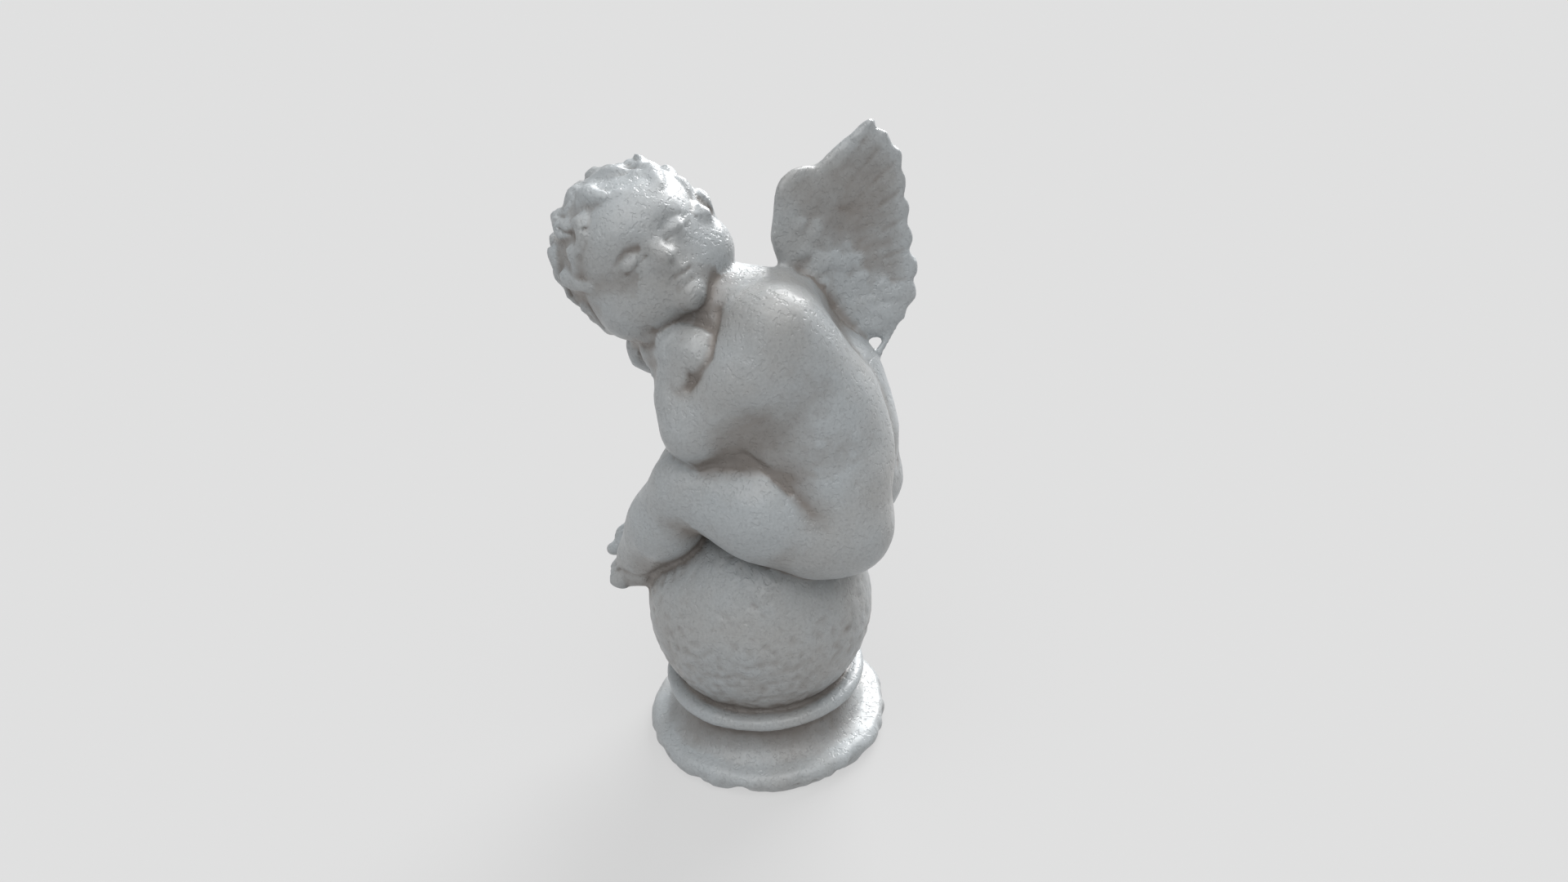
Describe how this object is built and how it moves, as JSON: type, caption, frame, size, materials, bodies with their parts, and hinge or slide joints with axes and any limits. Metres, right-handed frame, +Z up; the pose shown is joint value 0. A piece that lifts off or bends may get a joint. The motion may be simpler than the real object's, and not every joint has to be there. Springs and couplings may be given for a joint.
{
  "type": "putto statue",
  "caption": "Winged stone child seated on a ball, elbows on knees and head asleep on its hands, on a round moulded foot. Garden or mantel ornament.",
  "frame": {"origin": "centre of the round foot's flat underside, on the ground", "axes": "+Z up; the child faces -Y; its left side is +X"},
  "size_m": [0.2382, 0.3045, 0.5826],
  "materials": {
    "stone": "weathered grey cast stone, softly rubbed"
  },
  "bodies": {
    "root": {"putto_on_ball": "stone"}
  },
  "joints": []
}
